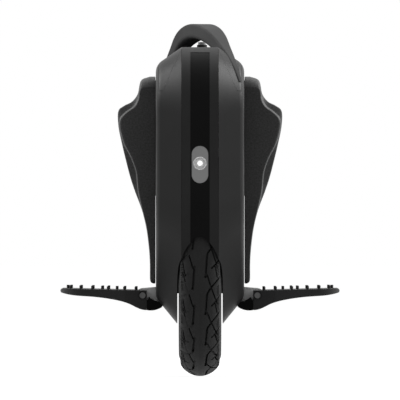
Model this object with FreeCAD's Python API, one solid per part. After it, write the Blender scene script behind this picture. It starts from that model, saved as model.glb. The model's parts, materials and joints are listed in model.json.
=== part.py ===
"""Electric unicycle, modelled in millimetres.

The origin lies on the ground under the middle of the wheel. +Z is up, the
front with the headlight faces -Y, and the pedals reach out along X.
"""
import FreeCAD, Part
import math
import os

Vec = FreeCAD.Vector

# Tyre
tyre_radius = 203.0
tyre_width = 62.4
tread_thickness = 7.0
sidewall_thickness = 4.0
bead_radius = 152.5
bead_width = 6.0
bead_height = 6.5

# Rim and motor
rim_width = 44.0
flange_thickness = 2.5
flange_height = 6.0
rim_well_depth = 7.5
rim_well_width = 18.0
rim_flange_band = 8.5
rim_web_width = 36.0
rim_land_width = 42.0
rim_land_slope = 3.0
motor_radius = 122.0
motor_land = 12.0
rotor_ring_thickness = 4.0
magnet_thickness = 3.5
magnet_count = 42
magnet_spacing = 0.6
air_gap = 0.8
stator_width = 30.0
stator_ring_thickness = 32.0
stator_hub_width = 9.0
winding_overhang = 4.5
winding_inset = 3.0
winding_thickness = 25.0
cover_thickness = 3.0
cover_edge_radius = 132.0
cover_belly_radius = 60.0
cover_belly_rise = 3.5
cover_hub_radius = 28.0
cover_hub_rise = 5.0
cover_hub_wall = 6.0
cover_eye_radius = 12.0
bearing_radius = 20.0
bearing_width = 12.0
bearing_start = 14.0
axle_radius = 8.5
axle_length = 102.0
running_gap = 0.05
cover_screw_count = 12
cover_screw_inset = 5.0
cover_screw_sink = 0.3
cover_screw_radius = 2.0
cover_screw_length = 9.0
screw_head_radius = 3.6
screw_head_height = 2.0
valve_radius = 3.85
valve_base_radius = 4.3
valve_base_length = 2.5
valve_length = 11.0
valve_depth = 6.0

# Wheel housing
tyre_gap = 7.0
well_side_gap = 2.3
housing_wall = 2.5
crown_share = 1.28
axle_slot_gap = 1.5
axle_boss_inner = 31.0
axle_boss_outer = 82.0
axle_boss_depth = 3.3

# Body outline
spine_width = 53.2
body_width = 129.0
nose_room = 12.0
deck_above_arch = 69.0
floor_below_axle = 133.5
nose_bend_above_axle = 18.0
floor_length = 248.0
deck_corner_radius = 100.0
nose_corner_radius = 120.0
floor_corner_radius = 60.0
side_inset = 36.0
side_lift = 10.0
side_edge_radius = 20.0
shell_wall = 3.0
seam = 0.4
seat_gap = 0.2
overrun = 20.0

# Top cover
deck_length = 236.0
flap_start_drop = 2.8
flap_drop = 64.4
flap_tip_out = 27.6
flap_side_margin = 3.9
finger_well_width = 80.0
finger_well_length = 144.0
finger_well_depth = 40.0
finger_well_corner = 14.0
finger_well_wall = 2.5

# Strips and lights
strip_width = 28.0
strip_depth = 2.0
strip_sink = 0.4
strip_top_drop = 8.0
light_above_axle = 107.3
light_width = 24.3
light_height = 54.3
light_sink = 0.9
light_body_depth = 20.0
light_gap = 0.15
lens_above_light = 1.9
lens_radius = 9.2
lens_pocket_depth = 9.0
lens_thickness = 3.0
lens_dome = 0.8
led_radius = 4.4
led_height = 2.2
led_board_thickness = 1.6
tail_lens_thickness = 4.0

# Carry handle
handle_height = 517.5
handle_reach_x = 59.2
handle_reach_y = 179.3
handle_drop = 86.5
handle_width = 33.0
handle_thickness = 22.0
handle_edge_radius = 3.0
handle_grip_radius = 6.5
handle_gap = 0.3
bracket_width = 14.0
bracket_length = 20.0
bracket_foot_reach = 24.0
bracket_foot_height = 30.0
bracket_foot_depth = 70.0
bracket_top_lap = 2.0
handle_bolt_radius = 2.5
handle_bolt_length = 24.0
handle_bolt_head = 4.5
handle_bolt_head_height = 4.0
handle_bolt_cover = 4.0

# Leg pads
pad_height = 303.0
pad_bottom = 136.5
pad_thickness = 54.6
pad_length = 200.0
pad_plate_thickness = 1.5
pad_plate_length = 140.0
pad_plate_height = 169.0
pad_plate_bottom = 265.0

# Pedals and hangers
pivot_out = 84.1
pivot_height = 119.3
hinge_pin_radius = 4.5
hinge_pin_length = 192.0
pin_recess_radius = 5.7
pin_recess_depth = 6.0
pedal_inner = 78.0
pedal_reach = 126.5
pedal_top_height = 126.4
pedal_tip_rise = 3.0
pedal_depth = 28.7
pedal_tip_thickness = 6.5
pedal_tip_round = 3.0
pedal_length = 208.0
pedal_end_length = 190.0
pedal_flare = 32.0
pedal_corner = 40.0
pedal_skin = 5.0
pedal_rib = 4.0
pedal_pocket_margin = 16.0
pedal_pocket_start = 26.0
pedal_pocket_end = 24.0
pedal_stud_radius = 1.9
pedal_stud_rise = 4.9
pedal_stud_depth = 4.0
stud_socket_radius = 1.0
stud_socket_depth = 1.6
knuckle_radius = 10.0
knuckle_length = 123.0
knuckle_gap = 0.6
hanger_thickness = 14.0
hanger_head_half = 27.0
hanger_foot_length = 120.0
hanger_bottom = 101.0
web_inner_rise = 6.5
stop_length = 190.0
stop_gap = 0.3
stop_depth = 22.2
stop_hollow = 4.5
stop_sweep_gap = 0.55
stop_crest_drop = 2.1
stop_dip_in = 15.1
stop_dip_drop = 6.4
stop_shelf_in = 22.3
stop_shelf_drop = 9.0
hanger_slot_gap = 1.0
clamp_bolt_radius = 3.0
clamp_bolt_length = 22.0
clamp_bolt_out = 17.0
clamp_bolt_head = 5.0
clamp_bolt_head_height = 4.0
frame_bolt_radius = 3.0
frame_bolt_head = 5.0
frame_bolt_head_height = 4.0
frame_bolt_margin = 10.0

# Batteries, controller and cable
battery_thickness = 20.5
battery_front = 125.0
battery_back = 105.0
battery_bottom = 262.0
battery_height = 138.0
battery_corner = 6.0
battery_board_length = 120.0
battery_board_thickness = 1.6
sink_width = 44.0
sink_start = 80.0
sink_length = 70.0
sink_top = 425.0
sink_depth = 80.0
sink_slot_width = 3.0
sink_slot_depth = 12.0
sink_slots = 5
board_thickness = 2.0
capacitor_radius = 5.0
capacitor_height = 22.0
capacitor_count = 4
capacitor_pitch = 11.0
capacitor_back = 10.0
transistor_width = 10.0
transistor_depth = 4.5
transistor_height = 15.0
transistor_count = 3
transistor_pitch = 14.0
transistor_back = 60.0
cable_radius = 3.0
cable_exit_bend = 7.0
cable_bend = 12.0
cable_shelf_height = 250.0
cable_riser_back = 122.0
cable_top_bend = 20.0
cable_end_out = 12.0

# Charge port, button and screws
port_above_axle = 160.0
port_radius = 12.0
port_bore_radius = 8.2
port_bore_depth = 14.0
port_floor = 2.5
cap_radius = 9.25
cap_seat_gap = 0.65
cap_thickness = 1.8
cap_gap = 0.3
cap_sink = 0.3
cap_knuckle_radius = 0.9
cap_knuckle_length = 5.0
cap_tab_width = 4.0
cap_hinge_drop = 10.7
button_radius = 6.0
button_out = 3.0
button_back = 95.0
button_rise = 10.5
button_travel = 1.5
button_length = 17.0
bezel_rise = 6.0
bezel_wall = 1.2
button_gap = 0.3
switch_wall = 3.0
shell_screw_radius = 4.5
shell_screw_sink = 0.6
shell_screw_head = 2.2
shell_screw_shank = 2.0
shell_screw_length = 8.0
shell_screw_back = 148.0

# Shares: handle stations (reach in x, reach in y, drop, width, thickness) with a roll in degrees
handle_station_shares = [
    (0.00, 0.000, 0.000, 1.00, 1.00, 0.0),
    (0.17, 0.180, 0.025, 0.98, 1.00, 2.0),
    (0.36, 0.360, 0.115, 0.88, 0.96, 5.0),
    (0.53, 0.525, 0.265, 0.69, 0.89, 9.0),
    (0.68, 0.690, 0.445, 0.51, 0.81, 14.0),
    (0.82, 0.856, 0.640, 0.38, 0.67, 19.0),
    (0.93, 0.957, 0.838, 0.29, 0.555, 22.0),
    (1.00, 1.000, 1.000, 0.204, 0.4625, 24.0),
]

# Shares: middle of the tyre's sidewall arc (reach, rise)
sidewall_share = (0.68, 0.38)

# Shares: outer line of a pad from the top down (thickness, depth below the top)
pad_edge_shares = [
    (0.13, 0.000), (0.36, 0.016), (0.43, 0.055), (0.45, 0.098), (0.56, 0.140), (0.77, 0.169),
    (0.94, 0.203), (0.95, 0.249), (0.84, 0.322), (0.65, 0.390), (0.51, 0.463), (0.46, 0.551),
    (0.34, 0.648), (0.22, 0.741), (0.15, 0.843), (0.135, 0.917), (0.13, 0.985),
]
pad_crown_shares = [
    (0.13, 0.000), (0.35, 0.014), (0.42, 0.046), (0.47, 0.086), (0.62, 0.121), (0.83, 0.141),
    (0.985, 0.168), (0.98, 0.240), (0.89, 0.322), (0.78, 0.405), (0.66, 0.488), (0.525, 0.561),
    (0.35, 0.646), (0.23, 0.737), (0.16, 0.839), (0.138, 0.912), (0.132, 0.985),
]
pad_bottom_share = 0.05

# Shares: pad sections from its front end to its middle (place, thickness, top drop, bottom rise, crown)
pad_section_shares = [
    (1.00, 0.42, 0.085, 0.030, 0.0),
    (0.96, 0.68, 0.048, 0.014, 0.0),
    (0.89, 0.87, 0.018, 0.005, 0.0),
    (0.82, 0.97, 0.004, 0.001, 0.0),
    (0.77, 1.00, 0.000, 0.000, 0.0),
    (0.72, 1.00, 0.000, 0.000, 0.0),
    (0.68, 1.00, 0.000, 0.000, 1.0),
]

# Shares: underside of a pedal from the tip inwards (reach, depth)
pedal_underside_shares = [
    (0.895, 0.209), (0.663, 0.303), (0.430, 0.422), (0.314, 0.523),
    (0.198, 0.686), (0.081, 0.934), (0.0, 1.0),
]

# Shares: studs on one pedal (reach, half length)
pedal_stud_shares = [
    (0.916, -0.20), (0.916, 0.20), (0.880, -0.56), (0.880, 0.56), (0.764, -0.74), (0.764, -0.36),
    (0.764, 0.36), (0.764, 0.74), (0.628, -0.88), (0.628, 0.0), (0.628, 0.88), (0.515, -0.52),
    (0.515, 0.52), (0.446, -0.90), (0.446, 0.90), (0.346, -0.30), (0.346, 0.30), (0.258, -0.80),
    (0.258, 0.80), (0.126, -0.74), (0.126, 0.74),
]

# Shares: screws on one side of the body (rise between the axle and the deck)
shell_screw_shares = [0.05, 0.37, 0.66]

# Places that follow from the sizes
axle_z = tyre_radius
arch_radius = tyre_radius + tyre_gap
well_half = tyre_width / 2 + well_side_gap
housing_half = well_half + housing_wall
housing_radius = arch_radius + housing_wall
spine_half = spine_width / 2
body_half = body_width / 2
body_reach = arch_radius + nose_room
deck_z = axle_z + arch_radius + deck_above_arch
floor_z = axle_z - floor_below_axle
deck_half = deck_length / 2
light_z = axle_z + light_above_axle
lens_z = light_z + lens_above_light
port_z = axle_z + port_above_axle
pad_inner = body_half + pad_plate_thickness
hanger_inner = housing_half
hanger_outer = hanger_inner + hanger_thickness
axle_half = axle_length / 2
rim_land_radius = motor_radius + motor_land
bead_outer = rim_width / 2 - flange_thickness
bead_inner = bead_outer - bead_width
battery_inner = housing_half + seat_gap


def line(start, end):
    return Part.LineSegment(start, end).toShape()


def arc(start, middle, end):
    return Part.Arc(start, middle, end).toShape()


def box(x0, x1, y0, y1, z0, z1):
    return Part.makeBox(x1 - x0, y1 - y0, z1 - z0, Vec(x0, y0, z0))


def rod(radius, start, end):
    along = end - start
    return Part.makeCylinder(radius, along.Length, start, along)


def polygon_face(points):
    return Part.Face(Part.makePolygon(points + [points[0]]))


def mirrored(shape):
    return shape.mirror(Vec(0, 0, 0), Vec(1, 0, 0))


def turned_to_rear(shape):
    turned = shape.copy()
    turned.rotate(Vec(0, 0, 0), Vec(0, 0, 1), 180)
    return turned


def joined(shapes):
    whole = shapes[0]
    if len(shapes) > 1:
        whole = whole.multiFuse(shapes[1:])
    return whole.removeSplitter()


def group(shapes):
    return Part.makeCompound([solid for shape in shapes for solid in shape.Solids])


def lowest(shape):
    return min(shape.Solids, key=lambda solid: solid.CenterOfMass.z)


def biggest(shape):
    return max(shape.Solids, key=lambda solid: solid.Volume)


def wheel_point(x, radius):
    return Vec(x, 0, axle_z + radius)


def spun(face):
    return face.revolve(Vec(0, 0, axle_z), Vec(1, 0, 0), 360)


def spun_polygon(pairs):
    return spun(polygon_face([wheel_point(x, radius) for x, radius in pairs]))


def spun_ring(inner, outer, x0, x1):
    return spun_polygon([(x0, inner), (x1, inner), (x1, outer), (x0, outer)])


def on_wheel(shape, degrees):
    copy = shape.copy()
    copy.rotate(Vec(0, 0, axle_z), Vec(1, 0, 0), degrees)
    return copy


def tyre_section(outer_half, outer_radius, foot, foot_top):
    """Face between the bead line and the crown, as wide and high as given."""
    centre = outer_radius - outer_half
    reach = outer_half - foot
    rise = centre - foot_top
    left = [
        wheel_point(-foot, bead_radius),
        wheel_point(-foot, foot_top),
        wheel_point(-foot - reach * sidewall_share[0], foot_top + rise * sidewall_share[1]),
        wheel_point(-outer_half, centre),
    ]
    right = [
        wheel_point(foot, bead_radius),
        wheel_point(foot, foot_top),
        wheel_point(foot + reach * sidewall_share[0], foot_top + rise * sidewall_share[1]),
        wheel_point(outer_half, centre),
    ]
    edges = [
        line(left[0], left[1]),
        arc(left[1], left[2], left[3]),
        arc(left[3], wheel_point(0, outer_radius), right[3]),
        arc(right[3], right[2], right[1]),
        line(right[1], right[0]),
        line(right[0], left[0]),
    ]
    return Part.Face(Part.Wire(edges))


def make_tyre():
    body = spun(tyre_section(tyre_width / 2, tyre_radius, bead_outer, bead_radius + bead_height))
    hollow = spun(tyre_section(
        tyre_width / 2 - sidewall_thickness,
        tyre_radius - tread_thickness,
        bead_inner,
        bead_radius + bead_height - sidewall_thickness / 2,
    ))
    return body.cut(hollow)


def make_rim():
    half = rim_width / 2
    web = rim_web_width / 2
    land = rim_land_width / 2
    well = rim_well_width / 2
    right = [
        (well, bead_radius - rim_well_depth),
        (bead_inner, bead_radius),
        (bead_outer, bead_radius),
        (bead_outer, bead_radius + flange_height),
        (half, bead_radius + flange_height),
        (half, bead_radius + flange_height - rim_flange_band),
        (web, bead_radius - bead_height),
        (web, rim_land_radius + rim_land_slope),
        (land, rim_land_radius),
        (land, motor_radius),
    ]
    left = [(-x, radius) for x, radius in reversed(right)]
    return spun_polygon(right + left)


def make_rotor_ring():
    half = rim_land_width / 2
    return spun_ring(motor_radius - rotor_ring_thickness, motor_radius, -half, half)


def make_magnets():
    outer = motor_radius - rotor_ring_thickness
    ring = spun_ring(outer - magnet_thickness, outer, -stator_width / 2, stator_width / 2)
    slits = []
    for index in range(magnet_count):
        slit = box(
            -stator_width, stator_width, -magnet_spacing / 2, magnet_spacing / 2,
            axle_z, axle_z + motor_radius,
        )
        slits.append(on_wheel(slit, index * 360 / magnet_count))
    return group([ring.cut(Part.makeCompound(slits))])


def make_stator():
    outer = motor_radius - rotor_ring_thickness - magnet_thickness - air_gap
    inner = outer - stator_ring_thickness
    ring = spun_ring(inner, outer, -stator_width / 2, stator_width / 2)
    hub = spun_ring(axle_radius, inner, -stator_hub_width / 2, stator_hub_width / 2)
    return joined([ring, hub])


def make_windings():
    outer = motor_radius - rotor_ring_thickness - magnet_thickness - air_gap - winding_inset
    start = stator_width / 2
    ring = spun_ring(outer - winding_thickness, outer, start, start + winding_overhang)
    ring = ring.makeFillet(winding_overhang / 3, [e for e in ring.Edges if e.BoundBox.XMin > start])
    return group([ring, mirrored(ring)])


def make_motor_cover():
    """Right cover with its bearing seat."""
    face_x = rim_land_width / 2
    seat_end = bearing_start + bearing_width
    hub_x = face_x + cover_thickness + cover_hub_rise
    pairs = [
        (face_x, cover_edge_radius),
        (face_x + cover_thickness, cover_edge_radius),
        (face_x + cover_thickness + cover_belly_rise, cover_belly_radius),
        (hub_x, cover_hub_radius),
        (hub_x, cover_eye_radius),
        (seat_end, cover_eye_radius),
        (seat_end, bearing_radius),
        (bearing_start, bearing_radius),
        (bearing_start, bearing_radius + cover_hub_wall),
        (hub_x - cover_thickness, bearing_radius + cover_hub_wall),
        (face_x + cover_belly_rise, cover_belly_radius),
        (face_x, rim_land_radius - motor_land),
    ]
    return spun_polygon(pairs)


def make_cover_screws():
    """Screws of the right cover."""
    seat = rim_land_width / 2 + cover_thickness - cover_screw_sink
    radius = cover_edge_radius - cover_screw_inset
    head = rod(screw_head_radius, wheel_point(seat, radius), wheel_point(seat + screw_head_height, radius))
    socket = rod(
        screw_head_radius / 2,
        wheel_point(seat + screw_head_height / 2, radius),
        wheel_point(seat + screw_head_height + overrun, radius),
    )
    shank = rod(
        cover_screw_radius, wheel_point(seat - cover_screw_length, radius), wheel_point(seat, radius)
    )
    screw = joined([head.cut(socket), shank])
    return [on_wheel(screw, index * 360 / cover_screw_count) for index in range(cover_screw_count)]


def make_bearing():
    """Right bearing."""
    return spun_ring(axle_radius + running_gap, bearing_radius, bearing_start, bearing_start + bearing_width)


def make_valve():
    """Valve stem on the lowest point of the rim's right side."""
    radius = (rim_land_radius + rim_land_slope + bead_radius - bead_height) / 2
    web = rim_web_width / 2
    base = rod(valve_base_radius, wheel_point(web, -radius), wheel_point(web + valve_base_length, -radius))
    stem = rod(
        valve_radius, wheel_point(web - valve_depth, -radius), wheel_point(web + valve_length, -radius)
    )
    return joined([base, stem])


def make_axle():
    return rod(axle_radius, wheel_point(-axle_half, 0), wheel_point(axle_half, 0))


def wheel_space(half_width, radius):
    """Round space about the wheel with half an ellipse as its crown."""
    depth = half_width * crown_share
    shoulder = radius - depth
    crown = Part.Ellipse(wheel_point(0, radius), wheel_point(half_width, shoulder), wheel_point(0, shoulder))
    corners = [
        wheel_point(-half_width, 0),
        wheel_point(half_width, 0),
        wheel_point(half_width, shoulder),
        wheel_point(-half_width, shoulder),
    ]
    edges = [
        line(corners[0], corners[1]),
        line(corners[1], corners[2]),
        Part.ArcOfEllipse(crown, crown.parameter(corners[3]), crown.parameter(corners[2])).toShape(),
        line(corners[3], corners[0]),
    ]
    return spun(Part.Face(Part.Wire(edges)))


def outline(x, inset, lift):
    """Side outline of the body at one x, drawn in by an inset and lifted."""
    nose_z = axle_z + nose_bend_above_axle
    floor_half = floor_length / 2
    corners = [
        (-body_reach, deck_z, deck_corner_radius),
        (-body_reach, nose_z, nose_corner_radius),
        (-floor_half, floor_z, floor_corner_radius),
        (floor_half, floor_z, floor_corner_radius),
        (body_reach, nose_z, nose_corner_radius),
        (body_reach, deck_z, deck_corner_radius),
    ]
    arcs = []
    for index, (y, z, radius) in enumerate(corners):
        before = corners[index - 1]
        after = corners[(index + 1) % len(corners)]
        came = Vec(0, y - before[0], z - before[1]).normalize()
        goes = Vec(0, after[0] - y, after[1] - z).normalize()
        out_before = Vec(0, came.z, -came.y)
        out_after = Vec(0, goes.z, -goes.y)
        both = out_before + out_after
        centre = Vec(x, y, z + lift) - both * (radius / (1 + out_before.dot(out_after)))
        size = radius - inset
        middle = Vec(0, both.y, both.z).normalize()
        arcs.append((centre + out_before * size, centre + middle * size, centre + out_after * size))
    edges = []
    for index, (start, middle, end) in enumerate(arcs):
        edges.append(arc(start, middle, end))
        edges.append(line(end, arcs[(index + 1) % len(arcs)][0]))
    return Part.Wire(edges)


def spine_block(inset, half_width):
    """Middle of the body, drawn in by an inset."""
    return Part.Face(outline(-half_width, inset, 0)).extrude(Vec(2 * half_width, 0, 0))


def side_block(inset):
    """Right side of the body, from the spine out, drawn in by an inset."""
    inner = outline(spine_half, inset, 0)
    outer = outline(body_half - inset, side_inset + inset, side_lift)
    block = Part.makeLoft([inner, outer], True, True)
    rim = [e for e in block.Edges if e.BoundBox.XMin > body_half - inset - seam]
    return block.makeFillet(side_edge_radius - inset, rim)


def flap_prism(gap):
    """Space above the right shoulder's seam, drawn in by a gap."""
    top = deck_z + overrun
    out = body_half - flap_side_margin - gap
    points = [
        Vec(spine_half, -body_reach - overrun, top),
        Vec(spine_half, -body_reach - overrun, deck_z - flap_start_drop + gap),
        Vec(spine_half + flap_tip_out, -body_reach - overrun, deck_z - flap_drop + gap),
        Vec(out, -body_reach - overrun, deck_z - flap_drop + gap),
        Vec(out, -body_reach - overrun, top),
    ]
    return polygon_face(points).extrude(Vec(0, 2 * (body_reach + overrun), 0))


def capsule(width, height, y0, y1, z):
    """Upright capsule along Y."""
    half = width / 2
    straight = (height - width) / 2
    bar = box(-half, half, y0, y1, z - straight, z + straight)
    low = rod(half, Vec(0, y0, z - straight), Vec(0, y1, z - straight))
    high = rod(half, Vec(0, y0, z + straight), Vec(0, y1, z + straight))
    return joined([bar, low, high])


def handle_sections(grown):
    """Sections of the handle from the rear left foot to the front right foot."""
    half = [list(row) for row in handle_station_shares]
    stations = []
    for sign, rows in ((-1, list(reversed(half[1:]))), (1, half)):
        for x, y, drop, width, thickness, roll in rows:
            place = Vec(
                sign * x * handle_reach_x, -sign * y * handle_reach_y, handle_height - drop * handle_drop
            )
            stations.append((place, width * handle_width, thickness * handle_thickness, sign * roll))
    wires = []
    for index, (place, width, thickness, roll) in enumerate(stations):
        before = stations[max(index - 1, 0)][0]
        after = stations[min(index + 1, len(stations) - 1)][0]
        ahead = (after - before).normalize()
        up = (Vec(0, 0, 1) - ahead * ahead.z).normalize()
        side = ahead.cross(up)
        angle = math.radians(roll)
        normal = up * math.cos(angle) - side * math.sin(angle)
        across = ahead.cross(normal)
        wires.append(handle_section(place, across, normal, width, thickness, grown))
    return wires


def handle_section(place, across, normal, width, thickness, grown):
    """Rounded rectangle whose outer face runs through a place."""
    half = width / 2 + grown
    top = grown
    bottom = -thickness - grown
    edge = min(handle_edge_radius, width / 3)
    grip = min(handle_grip_radius, width / 3, thickness / 3)
    slope = edge * (1 - math.sqrt(0.5))
    grip_slope = grip * (1 - math.sqrt(0.5))

    def at(sideways, upwards):
        return place + across * sideways + normal * upwards

    return Part.Wire([
        line(at(-half + edge, top), at(half - edge, top)),
        arc(at(half - edge, top), at(half - slope, top - slope), at(half, top - edge)),
        line(at(half, top - edge), at(half, bottom + grip)),
        arc(at(half, bottom + grip), at(half - grip_slope, bottom + grip_slope), at(half - grip, bottom)),
        line(at(half - grip, bottom), at(-half + grip, bottom)),
        arc(at(-half + grip, bottom), at(-half + grip_slope, bottom + grip_slope), at(-half, bottom + grip)),
        line(at(-half, bottom + grip), at(-half, top - edge)),
        arc(at(-half, top - edge), at(-half + slope, top - slope), at(-half + edge, top)),
    ])


def make_handle(grown):
    return Part.makeLoft(handle_sections(grown), True, False)


def make_housing(room, bolts):
    """Arched housing about the wheel within the skins, with a slot and two bosses for the axle."""
    tunnel = wheel_space(housing_half, housing_radius).cut(wheel_space(well_half, arch_radius)).common(room)
    boss = spun_ring(axle_boss_inner, axle_boss_outer, well_half - axle_boss_depth, well_half)
    tunnel = joined([tunnel, boss, mirrored(boss)])
    slot_half = axle_radius + axle_slot_gap
    slot = joined([
        rod(slot_half, wheel_point(-body_half, 0), wheel_point(body_half, 0)),
        box(-body_half, body_half, -slot_half, slot_half, -overrun, axle_z),
    ])
    return biggest(tunnel.cut(slot).cut(group(bolts)))


def hanger_space():
    """Opening in the right shell for the hanger's foot."""
    half = stop_length / 2 + hanger_slot_gap
    top = pedal_top_height + web_inner_rise + hanger_slot_gap
    return box(housing_half, body_half + overrun, -half, half, -overrun, top)


def make_right_shell(skin, screws, handle_space):
    """Right side of the body below the shoulder seam."""
    shell = skin.cut(flap_prism(0))
    shell = shell.cut(box(0, spine_half + seam, -body_reach - overrun, body_reach + overrun, 0, deck_z))
    shell = shell.cut(wheel_space(well_half, arch_radius))
    shell = shell.cut(hanger_space())
    return biggest(shell.cut(group(screws)).cut(handle_space))


def make_top_cover(body, skin, spine_skin, handle_space):
    """Deck with the finger well, and both shoulders down to their seams."""
    shoulder = skin.common(flap_prism(seam))
    deck = spine_skin.common(box(
        -spine_half, spine_half, -deck_half, deck_half, axle_z + arch_radius, deck_z + overrun
    ))
    well_half_width = finger_well_width / 2
    well_half_length = finger_well_length / 2
    well_floor = deck_z - finger_well_depth
    wall = finger_well_wall
    outer = box(
        -well_half_width - wall, well_half_width + wall, -well_half_length - wall, well_half_length + wall,
        well_floor - wall, deck_z + overrun,
    )
    inner = box(
        -well_half_width, well_half_width, -well_half_length, well_half_length, well_floor, deck_z + overrun
    )
    upright = [e for e in inner.Edges if abs(e.tangentAt(0).z) > 0.9]
    inner = inner.makeFillet(finger_well_corner, upright)
    upright = [e for e in outer.Edges if abs(e.tangentAt(0).z) > 0.9]
    outer = outer.makeFillet(finger_well_corner + wall, upright)
    whole = joined([shoulder, mirrored(shoulder), deck, outer.common(body)])
    hole = rod(
        button_radius + button_gap + bezel_wall,
        Vec(button_out, button_back, deck_z - shell_wall - seam),
        Vec(button_out, button_back, deck_z + overrun),
    )
    return biggest(whole.cut(inner).cut(hole).cut(handle_space))


def strip_space(top_inset, half_width, gap):
    """Front band of the spine from the arch up over the corner, between two depths."""
    band = spine_block(top_inset, half_width).cut(spine_block(strip_depth - gap, half_width + overrun))
    top = deck_z - strip_top_drop - gap
    return band.common(box(-half_width, half_width, -body_reach - overrun, -deck_half, 0, top))


def make_panel(spine_skin):
    """Front frame with its sunk band and the opening for the light."""
    half = spine_half
    panel = spine_skin.common(box(-half, half, -body_reach - overrun, -deck_half - seam, 0, deck_z + overrun))
    panel = panel.cut(wheel_space(well_half, arch_radius))
    panel = panel.cut(strip_space(-overrun, strip_width / 2, 0))
    panel = panel.cut(capsule(light_width, light_height, -body_reach - overrun, -deck_half, light_z))
    return biggest(panel)


def make_strip():
    """Glossy band that fills the sunk band of the frame."""
    strip = strip_space(strip_sink, strip_width / 2 - light_gap, light_gap)
    strip = strip.cut(wheel_space(well_half, arch_radius))
    strip = strip.cut(capsule(light_width, light_height, -body_reach - overrun, -deck_half, light_z))
    return biggest(strip)


def make_headlight_housing():
    front = -body_reach + light_sink
    body = capsule(
        light_width - 2 * light_gap, light_height - 2 * light_gap, front, front + light_body_depth, light_z
    )
    body = body.cut(wheel_space(housing_half + seat_gap, housing_radius + seat_gap))
    pocket = rod(
        lens_radius + light_gap, Vec(0, front - overrun, lens_z), Vec(0, front + lens_pocket_depth, lens_z)
    )
    return biggest(body.cut(pocket))


def make_headlight_lens():
    front = -body_reach + light_sink
    ball_radius = (lens_radius * lens_radius + lens_dome * lens_dome) / (2 * lens_dome)
    middle_rise = ball_radius - math.sqrt(ball_radius * ball_radius - lens_radius * lens_radius / 4)
    apex = Vec(0, front - lens_dome, lens_z)
    middle = Vec(lens_radius / 2, front - lens_dome + middle_rise, lens_z)
    front_rim = Vec(lens_radius, front, lens_z)
    back_rim = Vec(lens_radius, front + lens_thickness, lens_z)
    back = Vec(0, front + lens_thickness, lens_z)
    edges = [arc(apex, middle, front_rim), line(front_rim, back_rim), line(back_rim, back), line(back, apex)]
    return Part.Face(Part.Wire(edges)).revolve(back, Vec(0, 1, 0), 360)


def make_headlight_led():
    back = -body_reach + light_sink + lens_pocket_depth
    board = rod(lens_radius, Vec(0, back - led_board_thickness, lens_z), Vec(0, back, lens_z))
    chip = rod(
        led_radius,
        Vec(0, back - led_board_thickness - led_height, lens_z),
        Vec(0, back - led_board_thickness, lens_z),
    )
    return joined([board, chip])


def make_tail_light():
    """Red lens and the lamp body behind it, made at the front before they are turned to the rear."""
    front = -body_reach + light_sink
    back = front + tail_lens_thickness
    width = light_width - 2 * light_gap
    height = light_height - 2 * light_gap
    lens = capsule(width, height, front, back, light_z)
    body = capsule(width, height, back, front + light_body_depth, light_z)
    body = biggest(body.cut(wheel_space(housing_half + seat_gap, housing_radius + seat_gap)))
    return lens, body


def handle_foot():
    """Place and outward direction of the handle where it is bolted down at the front right."""

    def at(shares):
        return Vec(
            shares[0] * handle_reach_x, -shares[1] * handle_reach_y, handle_height - shares[2] * handle_drop
        )

    before, row, after = handle_station_shares[4:7]
    ahead = (at(after) - at(before)).normalize()
    up = (Vec(0, 0, 1) - ahead * ahead.z).normalize()
    angle = math.radians(row[5])
    normal = up * math.cos(angle) - ahead.cross(up) * math.sin(angle)
    return at(row), normal, row[4] * handle_thickness


def make_brackets(handle_space, bolts):
    """Posts between the wheel housing and the feet of the handle."""
    place, normal, thickness = handle_foot()
    under = place - normal * thickness
    x0 = under.x - bracket_width / 2
    x1 = under.x + bracket_width / 2
    y0 = under.y - bracket_length / 2
    y1 = under.y + bracket_length / 2
    crown = axle_z + math.sqrt(housing_radius * housing_radius - y1 * y1)
    post = box(x0, x1, y0, y1, crown, under.z + bracket_top_lap).cut(handle_space)
    foot = box(
        x1 - bracket_foot_reach, x1, y0, y1, crown - bracket_foot_depth, crown + bracket_foot_height
    )
    bracket = joined([lowest(post), foot])
    bracket = biggest(bracket.cut(wheel_space(housing_half + seat_gap, housing_radius + seat_gap)))
    return group([part.cut(group(bolts)) for part in (bracket, turned_to_rear(bracket))])


def pad_wire(y, thickness_share, drop_share, rise_share, crown_share):
    """Section of the right pad across its length."""
    low = pad_bottom + pad_height * rise_share
    high = pad_bottom + pad_height * (1 - drop_share)
    points = []
    for edge, crown in zip(pad_edge_shares, pad_crown_shares):
        out = edge[0] + (crown[0] - edge[0]) * crown_share
        down = edge[1] + (crown[1] - edge[1]) * crown_share
        points.append(Vec(pad_inner + out * thickness_share * pad_thickness, y, high - down * (high - low)))
    edges = [line(Vec(pad_inner, y, low), Vec(pad_inner, y, high)), line(Vec(pad_inner, y, high), points[0])]
    for index in range(0, len(points) - 2, 2):
        edges.append(arc(points[index], points[index + 1], points[index + 2]))
    foot = Vec(pad_inner + pad_bottom_share * pad_thickness, y, low)
    edges.append(line(points[-1], foot))
    edges.append(line(foot, Vec(pad_inner, y, low)))
    return Part.Wire(edges)


def make_pad():
    """Right leg pad, fullest in its middle and drawn in at both ends."""
    half = pad_length / 2
    front = [pad_wire(-place * half, *shares) for place, *shares in pad_section_shares]
    rear = [pad_wire(place * half, *shares) for place, *shares in reversed(pad_section_shares)]
    return Part.makeLoft(front + rear, True, True)


def make_pad_plate():
    """Plate between the right shell and its pad."""
    half = pad_plate_length / 2
    top = pad_plate_bottom + pad_plate_height
    return box(body_half, pad_inner, -half, half, pad_plate_bottom, top)


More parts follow.
